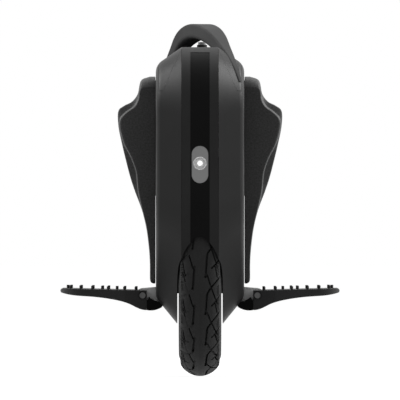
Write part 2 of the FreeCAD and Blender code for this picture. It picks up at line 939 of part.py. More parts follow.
def pedal_front_face():
    """Front outline of the right pedal."""
    tip = pedal_inner + pedal_reach
    top = pedal_top_height + pedal_tip_rise
    inner_top = Vec(pedal_inner, 0, pedal_top_height)
    tip_top = Vec(tip - pedal_tip_round, 0, top)
    nose = Vec(tip, 0, top - pedal_tip_thickness / 2)
    tip_low = Vec(tip - pedal_tip_round, 0, top - pedal_tip_thickness)
    under = [tip_low]
    for reach, depth in pedal_underside_shares:
        under.append(Vec(pedal_inner + reach * pedal_reach, 0, pedal_top_height - depth * pedal_depth))
    curve = Part.BSplineCurve()
    curve.interpolate(under)
    edges = [
        line(inner_top, tip_top), arc(tip_top, nose, tip_low), curve.toShape(), line(under[-1], inner_top)
    ]
    return Part.Face(Part.Wire(edges))


def pedal_plan():
    """Plan of the right pedal as an upright prism."""
    half = pedal_length / 2
    end = pedal_end_length / 2
    tip = pedal_inner + pedal_reach
    bend = pedal_corner * (1 - math.sqrt(0.5))
    edges = []
    right_points = [
        Vec(pedal_inner, -end, 0),
        Vec(pedal_inner + pedal_flare, -half, 0),
        Vec(tip - pedal_corner, -half, 0),
        Vec(tip - bend, -half + bend, 0),
        Vec(tip, -half + pedal_corner, 0),
    ]
    left_points = [Vec(p.x, -p.y, 0) for p in right_points]
    edges.append(line(right_points[0], right_points[1]))
    edges.append(line(right_points[1], right_points[2]))
    edges.append(arc(right_points[2], right_points[3], right_points[4]))
    edges.append(line(right_points[4], left_points[4]))
    edges.append(arc(left_points[4], left_points[3], left_points[2]))
    edges.append(line(left_points[2], left_points[1]))
    edges.append(line(left_points[1], left_points[0]))
    edges.append(line(left_points[0], right_points[0]))
    return Part.Face(Part.Wire(edges)).extrude(Vec(0, 0, pedal_top_height + overrun))


def pedal_surface(reach):
    return pedal_top_height + pedal_tip_rise * reach


def make_studs():
    """Studs in the right pedal's tread."""
    studs = []
    for reach, along in pedal_stud_shares:
        x = pedal_inner + reach * pedal_reach
        y = along * pedal_length / 2
        top = pedal_surface(reach) + pedal_stud_rise
        stud = rod(
            pedal_stud_radius, Vec(x, y, top - pedal_stud_rise - pedal_stud_depth), Vec(x, y, top)
        )
        socket = rod(stud_socket_radius, Vec(x, y, top - stud_socket_depth), Vec(x, y, top + overrun))
        studs.append(stud.cut(socket))
    return studs


def make_pedal(studs):
    """Right pedal with its pin bore, knuckle gap and ribbed underside."""
    half = pedal_length / 2
    face = pedal_front_face()
    face.translate(Vec(0, -half, 0))
    pedal = face.extrude(Vec(0, pedal_length, 0)).common(pedal_plan())
    gap_half = knuckle_length / 2 + knuckle_gap
    swing = knuckle_radius + knuckle_gap
    pivot = Vec(pivot_out, 0, pivot_height)
    low = pivot - Vec(0, half, 0)
    high = pivot + Vec(0, half, 0)
    pedal = pedal.cut(box(
        pedal_inner - overrun, pivot_out + swing, -gap_half, gap_half,
        pivot_height - pedal_depth - overrun, pedal_top_height + overrun,
    ))
    pedal = pedal.cut(rod(hinge_pin_radius + running_gap, low, high))
    pin_end = Vec(0, hinge_pin_length / 2 - pin_recess_depth, 0)
    pedal = pedal.cut(rod(pin_recess_radius, pivot + pin_end, high))
    pedal = pedal.cut(rod(pin_recess_radius, low, pivot - pin_end))
    room = (pedal_length - 2 * pedal_pocket_margin - 2 * pedal_rib) / 3
    for index in range(3):
        y = -half + pedal_pocket_margin + index * (room + pedal_rib)
        pedal = pedal.cut(box(
            pedal_inner + pedal_pocket_start, pedal_inner + pedal_reach - pedal_pocket_end, y, y + room,
            0, pedal_top_height - pedal_skin,
        ))
    return biggest(pedal.cut(group(studs)))


def make_hinge_pin():
    half = hinge_pin_length / 2
    return rod(hinge_pin_radius, Vec(pivot_out, -half, pivot_height), Vec(pivot_out, half, pivot_height))


def make_hanger(bolts):
    """Right hanger from the axle down to the pedal's hinge knuckle."""
    foot = hanger_foot_length / 2
    arm = polygon_face([
        Vec(hanger_inner, -hanger_head_half, axle_z),
        Vec(hanger_inner, -foot, hanger_bottom),
        Vec(hanger_inner, foot, hanger_bottom),
        Vec(hanger_inner, hanger_head_half, axle_z),
    ]).extrude(Vec(hanger_thickness, 0, 0))
    head = box(
        hanger_inner, hanger_outer, -hanger_head_half, hanger_head_half, axle_z, axle_z + hanger_head_half
    )
    half = knuckle_length / 2
    web = polygon_face([
        Vec(hanger_inner, -half, pivot_height - knuckle_radius),
        Vec(pivot_out, -half, pivot_height - knuckle_radius),
        Vec(pivot_out, -half, pivot_height + knuckle_radius),
        Vec(hanger_inner, -half, pedal_top_height + web_inner_rise),
    ]).extrude(Vec(0, knuckle_length, 0))
    knuckle = rod(knuckle_radius, Vec(pivot_out, -half, pivot_height), Vec(pivot_out, half, pivot_height))
    hanger = joined([arm, head, web, knuckle])
    hanger = hanger.cut(rod(axle_radius + running_gap, wheel_point(0, 0), wheel_point(body_half, 0)))
    hanger = hanger.cut(rod(
        hinge_pin_radius, Vec(pivot_out, -half, pivot_height), Vec(pivot_out, half, pivot_height)
    ))
    return biggest(hanger.cut(group(bolts)))


def make_stop_block(hanger):
    """Block under the right hinge that the open pedal rests against, clear of the folding pedal."""
    half = stop_length / 2
    outer = pedal_inner - stop_gap
    low = pedal_top_height - pedal_depth
    inner = outer - stop_depth
    sweep = math.hypot(pivot_out - pedal_inner, pedal_top_height - pivot_height) + stop_sweep_gap
    first = math.asin((pivot_out - outer) / sweep)
    last = math.acos(stop_crest_drop / sweep)

    def swept(turn):
        return Vec(pivot_out - sweep * math.sin(turn), -half, pivot_height - sweep * math.cos(turn))

    start = Vec(outer, -half, low)
    top = swept(first)
    crest = swept(last)
    dip = Vec(pivot_out - stop_dip_in, -half, pivot_height - stop_dip_drop)
    shelf = Vec(pivot_out - stop_shelf_in, -half, pivot_height - stop_shelf_drop)
    back = Vec(inner, -half, pivot_height - stop_shelf_drop)
    inner_low = Vec(inner, -half, low + stop_hollow)
    belly = Vec(outer - stop_depth / 2, -half, low)
    edges = [
        line(start, top),
        arc(top, swept((first + last) / 2), crest),
        arc(crest, dip, shelf),
        line(shelf, back),
        line(back, inner_low),
        arc(inner_low, belly, start),
    ]
    block = Part.Face(Part.Wire(edges)).extrude(Vec(0, stop_length, 0))
    return biggest(block.cut(hanger))


def make_clamp_bolts():
    """Bolts through the head of the right hanger."""
    bolts = []
    for side in (-1, 1):
        x = hanger_inner + hanger_thickness / 2
        y = side * clamp_bolt_out
        top = axle_z + hanger_head_half
        shank = rod(clamp_bolt_radius, Vec(x, y, top - clamp_bolt_length), Vec(x, y, top))
        head = rod(clamp_bolt_head, Vec(x, y, top), Vec(x, y, top + clamp_bolt_head_height))
        bolts.append(joined([shank, head]))
    return bolts


def make_frame_bolts():
    """Bolts that hold the right hanger to the wheel housing."""
    bolts = []
    top_z = axle_z - frame_bolt_margin
    low_z = pedal_top_height + web_inner_rise + frame_bolt_margin
    foot = hanger_foot_length / 2
    slope = (foot - hanger_head_half) / (axle_z - hanger_bottom)
    for z in (low_z, top_z):
        out = hanger_head_half + slope * (axle_z - z) - frame_bolt_margin
        for y in (-out, out):
            shank = rod(frame_bolt_radius, Vec(well_half, y, z), Vec(hanger_outer, y, z))
            head = rod(
                frame_bolt_head, Vec(hanger_outer, y, z), Vec(hanger_outer + frame_bolt_head_height, y, z)
            )
            bolts.append(joined([shank, head]))
    return bolts


def make_battery():
    """Right battery pack."""
    pack = box(
        battery_inner, battery_inner + battery_thickness, -battery_front, battery_back,
        battery_bottom, battery_bottom + battery_height,
    )
    return pack.makeFillet(battery_corner, [e for e in pack.Edges if abs(e.tangentAt(0).x) < 0.1])


def make_battery_board():
    """Protection board on top of the right battery pack."""
    half = battery_board_length / 2
    top = battery_bottom + battery_height
    return box(
        battery_inner + battery_corner, battery_inner + battery_thickness - battery_corner, -half, half,
        top, top + battery_board_thickness,
    )


def make_heat_sink():
    half = sink_width / 2
    sink = box(-half, half, sink_start, sink_start + sink_length, sink_top - sink_depth, sink_top)
    for index in range(sink_slots):
        y = sink_start + (index + 0.5) * sink_length / sink_slots - sink_slot_width / 2
        sink = sink.cut(box(
            -half, -half + sink_slot_depth, y, y + sink_slot_width,
            sink_top - sink_depth, sink_top - sink_slot_width,
        ))
    return biggest(sink.cut(wheel_space(housing_half + seat_gap, housing_radius + seat_gap)))


def make_controller_board():
    half = sink_width / 2
    return box(-half, half, sink_start, sink_start + sink_length, sink_top, sink_top + board_thickness)


def make_capacitors():
    base = sink_top + board_thickness
    y = sink_start + capacitor_back
    parts = []
    for index in range(capacitor_count):
        x = (index - (capacitor_count - 1) / 2) * capacitor_pitch
        parts.append(rod(capacitor_radius, Vec(x, y, base), Vec(x, y, base + capacitor_height)))
    return group(parts)


def make_transistors():
    base = sink_top + board_thickness
    y = sink_start + transistor_back
    parts = []
    for index in range(transistor_count):
        x = (index - (transistor_count - 1) / 2) * transistor_pitch
        parts.append(box(
            x - transistor_width / 2, x + transistor_width / 2, y, y + transistor_depth,
            base, base + transistor_height,
        ))
    return group(parts)


def make_cable():
    """Motor cable from the left end of the axle up to the controller board."""
    wall_x = -axle_half - cable_exit_bend
    shelf = cable_shelf_height
    top = sink_top + board_thickness + cable_radius
    bow = 1 - math.sqrt(0.5)
    exit_bend = cable_exit_bend
    bend = cable_bend
    back = cable_riser_back
    end_bend = cable_top_bend
    points = [
        Vec(-axle_half, 0, axle_z),
        Vec(wall_x + exit_bend * bow, 0, axle_z + exit_bend * bow),
        Vec(wall_x, 0, axle_z + exit_bend),
        Vec(wall_x, 0, shelf - bend),
        Vec(wall_x, bend * bow, shelf - bend * bow),
        Vec(wall_x, bend, shelf),
        Vec(wall_x, back - bend, shelf),
        Vec(wall_x, back - bend * bow, shelf + bend * bow),
        Vec(wall_x, back, shelf + bend),
        Vec(wall_x, back, top - end_bend),
        Vec(wall_x + end_bend * bow, back, top - end_bend * bow),
        Vec(wall_x + end_bend, back, top),
        Vec(-cable_end_out, back, top),
    ]
    route = Part.Wire([
        arc(points[0], points[1], points[2]),
        line(points[2], points[3]),
        arc(points[3], points[4], points[5]),
        line(points[5], points[6]),
        arc(points[6], points[7], points[8]),
        line(points[8], points[9]),
        arc(points[9], points[10], points[11]),
        line(points[11], points[12]),
    ])
    ring = Part.Wire([Part.makeCircle(cable_radius, points[0], Vec(1, 0, 0))])
    return route.makePipeShell([ring], True, False)


def make_charge_port():
    """Round socket in the rear panel with a sunk seat for its cap."""
    front = body_reach - strip_sink
    back = front - cap_sink - cap_thickness - port_bore_depth - port_floor
    body = rod(port_radius, Vec(0, back, port_z), Vec(0, front, port_z))
    seat = rod(
        cap_radius + cap_seat_gap,
        Vec(0, front - cap_sink - cap_thickness - seat_gap, port_z),
        Vec(0, front + overrun, port_z),
    )
    bore = rod(port_bore_radius, Vec(0, back + port_floor, port_z), Vec(0, front + overrun, port_z))
    return body.cut(seat).cut(bore).cut(cap_hinge_space(front))


def cap_hinge_space(front):
    """Notch in the socket about the cap's hinge."""
    half = cap_knuckle_length / 2 + cap_gap
    depth = 2 * cap_knuckle_radius + cap_sink + cap_gap
    low = port_z - cap_hinge_drop - cap_knuckle_radius - cap_gap
    return box(-half, half, front - depth, front + overrun, low, port_z)


def make_port_cap():
    front = body_reach - strip_sink - cap_sink
    disc = rod(cap_radius, Vec(0, front - cap_thickness, port_z), Vec(0, front, port_z))
    y = front - cap_knuckle_radius
    z = port_z - cap_hinge_drop
    half = cap_knuckle_length / 2
    knuckle = rod(cap_knuckle_radius, Vec(-half, y, z), Vec(half, y, z))
    tab = box(-cap_tab_width / 2, cap_tab_width / 2, front - cap_thickness / 2, front, z, port_z)
    return joined([disc, knuckle, tab])


def make_switch():
    """Cup under the deck that holds the power button, with a bezel through the deck."""
    top = deck_z - shell_wall
    rim = deck_z + bezel_rise
    low = deck_z + button_rise - button_length - 2 * button_travel
    centre = Vec(button_out, button_back, 0)
    up = Vec(0, 0, 1)
    radius = button_radius + button_gap
    outer = rod(radius + switch_wall, centre + up * (low - switch_wall), centre + up * top)
    bezel = rod(radius + bezel_wall, centre + up * low, centre + up * rim)
    inner = rod(radius, centre + up * low, centre + up * (rim + overrun))
    return joined([outer, bezel]).cut(inner)


def make_button():
    top = deck_z + button_rise
    body = rod(
        button_radius, Vec(button_out, button_back, top - button_length), Vec(button_out, button_back, top)
    )
    return body.makeFillet(button_travel / 2, [e for e in body.Edges if e.BoundBox.ZMin > top - seam])


def make_shell_screws():
    """Screws in the right side of the body."""
    screws = []
    out = Vec(1, 0, 0)
    for y in (-shell_screw_back, shell_screw_back):
        for rise in shell_screw_shares:
            place = Vec(body_half - shell_screw_sink, y, axle_z + rise * (deck_z - axle_z))
            head = rod(shell_screw_radius, place - out * shell_screw_head, place)
            socket = rod(shell_screw_shank, place - out * (shell_screw_head / 2), place + out * overrun)
            shank = rod(shell_screw_shank, place - out * shell_screw_length, place - out * shell_screw_head)
            screws.append(joined([head.cut(socket), shank]))
    return screws


def make_screw_spaces():
    """Sunk holes for the screws in the right side of the body."""
    holes = []
    out = Vec(1, 0, 0)
    for y in (-shell_screw_back, shell_screw_back):
        for rise in shell_screw_shares:
            place = Vec(body_half - shell_screw_sink, y, axle_z + rise * (deck_z - axle_z))
            holes.append(joined([
                rod(shell_screw_radius, place - out * shell_screw_head, place + out * overrun),
                rod(shell_screw_shank, place - out * shell_screw_length, place),
            ]))
    return holes


def make_handle_bolts():
    """Bolts that hold the feet of the handle to their posts."""
    place, normal = handle_foot()[:2]
    start = place - normal * handle_bolt_cover
    end = start - normal * handle_bolt_length
    shank = rod(handle_bolt_radius, end, start)
    head = rod(handle_bolt_head, end - normal * handle_bolt_head_height, end)
    bolt = joined([shank, head])
    return [bolt, turned_to_rear(bolt)]


def make_parts():
    parts = {}
    side_skin = side_block(0).cut(side_block(shell_wall))
    body = joined([spine_block(0, spine_half), side_block(0), mirrored(side_block(0))])
    spine_skin = spine_block(0, spine_half).cut(spine_block(shell_wall, spine_half + overrun))
    handle_space = make_handle(handle_gap)
    bolts = make_handle_bolts()

    parts["tyre"] = make_tyre()
    screws = make_cover_screws()
    cover = make_motor_cover().cut(group(screws))
    valve = make_valve()
    all_screws = group(screws + [mirrored(screw) for screw in screws])
    parts["rim"] = make_rim().cut(all_screws).cut(valve)
    parts["rotor_ring"] = make_rotor_ring()
    parts["magnets"] = make_magnets()
    parts["right_motor_cover"] = cover
    parts["left_motor_cover"] = mirrored(cover)
    parts["motor_cover_screws"] = all_screws
    parts["right_bearing"] = make_bearing()
    parts["left_bearing"] = mirrored(make_bearing())
    parts["valve_stem"] = valve

    parts["axle"] = make_axle()
    parts["stator_core"] = make_stator()
    parts["stator_windings"] = make_windings()
    parts["motor_cable"] = make_cable()

    frame_bolts = make_frame_bolts()
    all_frame_bolts = frame_bolts + [mirrored(bolt) for bolt in frame_bolts]
    parts["frame_bolts"] = group(all_frame_bolts)
    shell_screws = make_shell_screws()
    right_shell = make_right_shell(side_skin, make_screw_spaces(), handle_space)
    room_inset = shell_wall + seat_gap
    side_room = side_block(room_inset)
    room = joined([spine_block(room_inset, spine_half), side_room, mirrored(side_room)])
    parts["wheel_housing"] = make_housing(room, all_frame_bolts)
    parts["right_shell"] = right_shell
    parts["left_shell"] = turned_to_rear(right_shell)
    parts["shell_screws"] = group(shell_screws + [mirrored(screw) for screw in shell_screws])
    parts["top_cover"] = make_top_cover(body, side_skin, spine_skin, handle_space)

    panel = make_panel(spine_skin)
    strip = make_strip()
    port = make_charge_port()
    port_space = rod(
        port_radius, Vec(0, body_reach - nose_room, port_z), Vec(0, body_reach + overrun, port_z)
    )
    parts["front_panel"] = panel
    parts["front_strip"] = strip
    parts["rear_panel"] = turned_to_rear(panel).cut(port_space)
    parts["rear_strip"] = turned_to_rear(strip).cut(port_space)
    parts["headlight_housing"] = make_headlight_housing()
    parts["headlight_lens"] = make_headlight_lens()
    parts["headlight_led"] = make_headlight_led()
    tail_lens, tail_body = make_tail_light()
    parts["tail_light_lens"] = turned_to_rear(tail_lens)
    parts["tail_light_body"] = turned_to_rear(tail_body)
    parts["charge_port"] = port
    parts["charge_port_cap"] = make_port_cap()

    parts["handle"] = make_handle(0).cut(group(bolts))
    parts["handle_bolts"] = group(bolts)
    parts["handle_brackets"] = make_brackets(handle_space, bolts)
    parts["power_switch"] = make_switch()
    parts["power_button"] = make_button()

    pad = make_pad()
    parts["right_pad"] = pad
    parts["left_pad"] = mirrored(pad)
    parts["right_pad_plate"] = make_pad_plate()
    parts["left_pad_plate"] = mirrored(make_pad_plate())

    clamp_bolts = make_clamp_bolts()
    hanger = make_hanger(clamp_bolts + frame_bolts)
    stop = make_stop_block(hanger)
    parts["right_hanger"] = hanger
    parts["left_hanger"] = mirrored(hanger)
    parts["right_stop_block"] = stop
    parts["left_stop_block"] = mirrored(stop)
    parts["clamp_bolts"] = group(clamp_bolts + [mirrored(bolt) for bolt in clamp_bolts])
    parts["right_hinge_pin"] = make_hinge_pin()
    parts["left_hinge_pin"] = mirrored(make_hinge_pin())

    studs = make_studs()
    pedal = make_pedal(studs)
    parts["right_pedal"] = pedal
    parts["left_pedal"] = mirrored(pedal)
    parts["right_pedal_studs"] = group(studs)
    parts["left_pedal_studs"] = group([mirrored(stud) for stud in studs])

    parts["right_battery"] = make_battery()
    parts["left_battery"] = mirrored(make_battery())
    parts["right_battery_board"] = make_battery_board()
    parts["left_battery_board"] = mirrored(make_battery_board())
    parts["heat_sink"] = make_heat_sink()
    parts["controller_board"] = make_controller_board()
    parts["capacitors"] = make_capacitors()
    parts["power_transistors"] = make_transistors()
    return parts


os.makedirs("parts", exist_ok=True)
for node, shape in make_parts().items():
    shape.exportStep("parts/" + node + ".step")
    print(node, len(shape.Solids), shape.isValid(), round(shape.Volume))
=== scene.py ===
import bpy
import bmesh
import json
import math
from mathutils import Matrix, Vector
from mathutils.geometry import delaunay_2d_cdt


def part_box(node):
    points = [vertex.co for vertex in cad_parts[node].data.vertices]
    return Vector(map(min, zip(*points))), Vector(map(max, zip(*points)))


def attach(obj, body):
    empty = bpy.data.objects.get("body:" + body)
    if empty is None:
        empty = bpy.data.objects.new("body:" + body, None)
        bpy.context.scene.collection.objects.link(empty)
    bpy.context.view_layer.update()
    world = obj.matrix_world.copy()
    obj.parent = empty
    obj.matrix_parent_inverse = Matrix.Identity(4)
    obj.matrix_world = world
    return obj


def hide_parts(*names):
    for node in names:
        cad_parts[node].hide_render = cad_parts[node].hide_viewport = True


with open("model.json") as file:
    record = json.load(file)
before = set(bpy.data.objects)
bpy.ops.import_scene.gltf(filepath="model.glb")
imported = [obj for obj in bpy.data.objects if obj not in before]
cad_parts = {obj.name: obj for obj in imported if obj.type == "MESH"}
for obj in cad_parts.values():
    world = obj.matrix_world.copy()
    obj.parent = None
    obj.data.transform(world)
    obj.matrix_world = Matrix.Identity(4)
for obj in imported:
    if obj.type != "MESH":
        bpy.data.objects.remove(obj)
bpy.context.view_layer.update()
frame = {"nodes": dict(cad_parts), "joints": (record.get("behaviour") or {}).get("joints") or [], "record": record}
MM = 0.001
BOX_DIGITS = 3


def node_box(node):
    """Lowest and highest corner of a node, in millimetres."""
    return [tuple(round(value / MM, BOX_DIGITS) for value in corner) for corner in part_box(node)]


# Camera and studio, in metres, with the lens and its sensor in millimetres
CAMERA_DISTANCE = 18.0
CAMERA_HEIGHT = 0.2588
CAMERA_LENS = 1101.9
SENSOR_WIDTH = 36.0
VIEW_END = 150.0
FLOOR_HALF = 30.0
FLOOR_DROP = 0.0004
FLOOR_GREY = 0.20
FLOOR_GLOW = 0.92
ROOM_LIGHT = 0.42
WHITE = (1.0, 1.0, 1.0, 1.0)
LAMPS = [
    # name, place, size, watts
    ("top_lamp", (0.0, 1.4, 3.2), 2.4, 50.0),
    ("left_lamp", (-2.6, 1.0, 2.0), 1.6, 90.0),
    ("right_lamp", (2.6, 1.0, 2.0), 1.6, 140.0),
]

# Tyre, in millimetres. It stands on the ground, so its radius is the height of the axle
_, (TYRE_HALF, _, _) = node_box("tyre")
JOINT_PLACES = {joint["name"]: joint["pos_m"] for joint in frame["joints"] if "pos_m" in joint}
AXLE_HEIGHT = JOINT_PLACES["wheel_spin"][2] / MM
TYRE_RADIUS = AXLE_HEIGHT
CROWN_RADIUS = 32.57
SHOULDER_OUT = 28.3
TYRE_SHADING_DEGREES = 35.0
# Right sidewall from the shoulder to the bead: distance from the middle and radius
SIDEWALL = [
    (28.75, 183.2), (28.9, 180.2), (29.5, 177.6), (30.5, 175.2), (31.1, 172.8), (31.2, 171.0),
    (30.9, 169.2), (30.95, 168.7), (30.75, 168.1), (30.2, 167.6), (29.2, 165.9), (29.25, 165.4),
    (28.9, 164.9), (27.9, 164.2), (26.2, 162.6), (24.2, 161.2), (21.9, 160.0), (19.5, 159.0), (19.4, 152.7),
]

# Tread. It is laid out flat, with a fixed length for each radian, and its pattern repeats at every pitch
PITCH_COUNT = 21
PITCH_DEGREES = 360.0 / PITCH_COUNT
TREAD_SCALE = 200.0
TREAD_STEP = 4.0
# A groove of the right half at some degrees comes again on the left half at these degrees less its own
MIRROR_DEGREES = 45.0
# Grooves of one pitch of the right half: width, depth, share of the depth on the left half,
# then (share of the half width, degrees)
GROOVES = [
    (3.3, 4.2, 1.0, [(0.37, 23.1), (0.325, 24.4), (0.262, 33.1)]),
    (3.3, 4.2, 0.2, [(0.99, 16.95), (0.907, 17.7), (0.556, 20.8), (0.36, 23.25)]),
    (3.4, 4.2, 1.0, [(0.285, 32.75), (0.225, 33.55)]),
    (2.4, 3.8, 1.0, [(0.325, 32.2), (0.51, 37.9)]),
    (2.4, 3.8, 0.1, [(0.50, 37.6), (0.70, 43.45)]),
    (2.4, 3.8, 1.0, [(0.69, 43.15), (0.757, 45.1), (0.815, 47.3)]),
    (2.4, 3.8, 1.0, [(0.69, 28.6), (0.81, 34.8)]),
    (3.0, 4.0, 0.2, [(0.985, 25.95), (0.88, 26.9), (0.556, 29.75)]),
    (3.0, 4.0, 0.2, [(0.575, 29.2), (0.548, 30.1)]),
]
SERRATION_WIDTH = 1.2
SERRATION_DEPTH = 2.4
SERRATION_SLANT_DEGREES = 0.35
SERRATIONS = [
    # first and last degrees, count, inner and outer share
    (21.7, 25.9, 7, 0.775, 0.89),
    (28.5, 33.7, 8, 0.745, 0.90),
]
# Keeps the corner of a groove from reaching out too far at a sharp bend
MITRE_LEAST = 0.5
# How the flat tread is cut: every triangle is given back, and points as near as this are one
ALL_TRIANGLES = 0
CUT_TOLERANCE = 1e-5
# Parts of a millimetre to which the points of neighbouring pitches are welded
WELD_PARTS = 1000

# Leg pads, in millimetres. Their inner face lies a little nearer to the shell than that of the nodes
(PAD_NODE_INNER, _, PAD_BOTTOM), _ = node_box("right_pad")
PAD_NODE_THICKNESS = 54.6
PAD_SET_IN = 0.2
PAD_INNER = PAD_NODE_INNER - PAD_SET_IN
PAD_THICKNESS = PAD_NODE_THICKNESS + PAD_SET_IN
PAD_HEIGHT = 303.0
PAD_ROUND_POWER = 14
PAD_STEPS = 5
PAD_SHADING_DEGREES = 50.0
# Outer lines at the front edge and along the middle: share of the thickness, share of the height from the top
PAD_EDGE = [
    (0.13, 0.000), (0.36, 0.016), (0.43, 0.055), (0.45, 0.098), (0.56, 0.140), (0.77, 0.169),
    (0.94, 0.203), (0.95, 0.249), (0.84, 0.322), (0.65, 0.390), (0.51, 0.463), (0.46, 0.551),
    (0.34, 0.648), (0.22, 0.741), (0.15, 0.843), (0.135, 0.917), (0.13, 0.985), (0.05, 1.0),
]
PAD_CROWN = [
    (0.13, 0.000), (0.35, 0.014), (0.42, 0.046), (0.47, 0.086), (0.62, 0.121), (0.83, 0.141),
    (0.985, 0.168), (0.98, 0.240), (0.89, 0.322), (0.78, 0.405), (0.66, 0.488), (0.525, 0.561),
    (0.35, 0.646), (0.23, 0.737), (0.16, 0.839), (0.138, 0.912), (0.132, 0.985), (0.05, 1.0),
]
# Sections from the middle to the front: distance, then shares of thickness, top drop, bottom rise and crown
PAD_SECTIONS = [
    (0, 1.0, 0.0, 0.0, 1.0), (30, 1.0, 0.0, 0.0, 1.0), (60, 1.0, 0.0, 0.0, 1.0),
    (66.5, 1.0, 0.0, 0.0, 1.0), (68.2, 1.0, 0.0, 0.0, 0.94), (69.0, 1.0, 0.0, 0.0, 0.80),
    (71.0, 1.0, 0.0, 0.0, 0.20), (71.8, 1.0, 0.0, 0.0, 0.05), (72.6, 1.0, 0.0, 0.0, 0.0),
    (75.5, 1.0, 0.0, 0.0, 0.0), (77.5, 1.0, 0.0001, 0.0, 0.0), (79.5, 1.0, 0.0009, 0.0004, 0.0),
    (82.0, 1.0, 0.0026, 0.0012, 0.0), (85.5, 1.0, 0.0065, 0.003, 0.0), (89.0, 1.0, 0.0115, 0.0052, 0.0),
    (92.5, 0.998, 0.0195, 0.009, 0.0), (95.5, 0.992, 0.0290, 0.0138, 0.0),
    (97.6, 0.982, 0.0385, 0.0195, 0.0), (99.0, 0.965, 0.0460, 0.0250, 0.0),
    (99.7, 0.945, 0.0500, 0.0280, 0.0), (99.9, 0.925, 0.0527, 0.0300, 0.0),
    (99.94, 0.900, 0.0534, 0.0304, 0.0), (99.945, 0.860, 0.0537, 0.0306, 0.0),
    (99.95, 0.140, 0.0546, 0.0310, 0.0),
]

# Headlight, in millimetres, and the section of its reflector: radius and depth behind the plate's front
(_, LIGHT_FRONT, _), _ = node_box("headlight_housing")
(_, _, LENS_BOTTOM), (_, _, LENS_TOP) = node_box("headlight_lens")
LIGHT_HEIGHT = (LENS_BOTTOM + LENS_TOP) / 2
REFLECTOR = [
    (8.95, 3.1), (7.4, 3.3), (6.9, 4.5), (3.9, 4.9), (3.9, 5.1), (4.7, 5.1), (4.7, 7.25), (8.95, 7.25),
]
REFLECTOR_STEPS = 48
SMALL_SHADING_DEGREES = 30.0

# Dark strips behind the seams of the upper shell, right side, in millimetres. They are painted shade: a dark sheet
# put where only the shade inside the seams would be seen
_, (PANEL_EDGE, _, _) = node_box("front_panel")
(SHELL_EDGE, _, _), _ = node_box("right_shell")
(_, _, COVER_BOTTOM), (COVER_EDGE, _, _) = node_box("top_cover")
# How far the strips reach behind the pieces beside a seam
PANEL_LAP = 1.8
SHELL_LAP = 1.7
COVER_LAP = 1.3
FLAP_LAP = 1.8
# Inner and outer face of the strip along the cover's side, counted from that side
SIDE_STRIP = (0.08, 0.26)
# Along the front panel's edge: y and z
PANEL_LINE = [(-214.7, 398.5), (-211.4, 410.0), (-208.0, 420.0), (-203.2, 430.0), (-196.2, 440.5)]
# Along the cover's lower edge: x and y
COVER_LINE = [(53.5, -181.8), (57.0, -180.0), (60.9, -171.9)]
# Along the cover's side: y and z
SIDE_LINE = [(-172.0, 416.0), (-100.0, 457.4)]
# Depth along y, then the points of the two long edges
SEAM_SHADE_STRIPS = [
    (1.0, [(PANEL_EDGE - PANEL_LAP, y, z) for y, z in PANEL_LINE],
     [(SHELL_EDGE + SHELL_LAP, y, z) for y, z in PANEL_LINE]),
    (0.9, [(49.8, -180.4, 431.2), (55.4, -181.8, 418.6)], [(47.2, -180.4, 430.0), (52.8, -181.8, 417.4)]),
    (0.9, [(x, y, COVER_BOTTOM + COVER_LAP) for x, y in COVER_LINE],
     [(x, y, COVER_BOTTOM - FLAP_LAP) for x, y in COVER_LINE]),
    (8.0, [(COVER_EDGE + SIDE_STRIP[0], y, z) for y, z in SIDE_LINE],
     [(COVER_EDGE + SIDE_STRIP[1], y, z) for y, z in SIDE_LINE]),
]
SHADE_STRIP_CORNERS = 4

# Softened edges: node, width in millimetres and segments, for edges sharper than the given angle
SOFT_EDGES = [
    ("headlight_housing", 0.9, 3), ("left_pedal_studs", 1.3, 4), ("right_pedal_studs", 1.3, 4),
]
SOFT_EDGE_DEGREES = 50.0

# Finishes: detail of their patterns, and the ranges of the patterns that are used
BLOTCH_DETAIL = 3.0
GRAIN_DETAIL = 2.0
GRAIN_RANGE = (0.3, 0.7)
BUMP_STRENGTH = 0.6
SPECKLE_SCALE = 420.0
SPECKLE_DETAIL = 4.0
SPECKLE_ROUGHNESS = 0.7
SPECKLE_RANGE = (0.35, 0.68)


def new_piece(name, points, faces, body, slot, smooth_degrees):
    """Mesh piece from points in millimetres, shaded smooth up to the given angle."""
    mesh = bpy.data.meshes.new(name)
    mesh.from_pydata([Vector(p) * MM for p in points], [], faces)
    work = bmesh.new()
    work.from_mesh(mesh)
    bmesh.ops.recalc_face_normals(work, faces=work.faces)
    work.to_mesh(mesh)
    work.free()
    for polygon in mesh.polygons:
        polygon.use_smooth = True
    mesh.set_sharp_from_angle(angle=math.radians(smooth_degrees))
    piece = bpy.data.objects.new(name, mesh)
    bpy.context.scene.collection.objects.link(piece)
    piece.data.materials.append(FINISHES[slot])
    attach(piece, body)
    return piece


def ring_faces(first, second, count):
    """Four-sided faces between two closed rings of points that start at the given numbers."""
    faces = []
    for index in range(count):
        ahead = (index + 1) % count
        faces.append([first + index, first + ahead, second + ahead, second + index])
    return faces


def wheel_place(out, radius, turn):
    """Point of the wheel: turn is the angle down from the front."""
    return (out, -radius * math.cos(turn), AXLE_HEIGHT - radius * math.sin(turn))


def tread_place(across, along, sink):
    """Point of the tread at an arc length from the crown, sunk below it."""
    lean = across / CROWN_RADIUS
    radius = CROWN_RADIUS - sink
    return wheel_place(
        radius * math.sin(lean), TYRE_RADIUS - CROWN_RADIUS + radius * math.cos(lean), along / TREAD_SCALE
    )


def on_tread(share, degrees):
    """Place on the flat tread of a share of the half width and an angle."""
    across = CROWN_RADIUS * math.asin(share * TYRE_HALF / CROWN_RADIUS)
    return Vector((across, math.radians(degrees) * TREAD_SCALE))


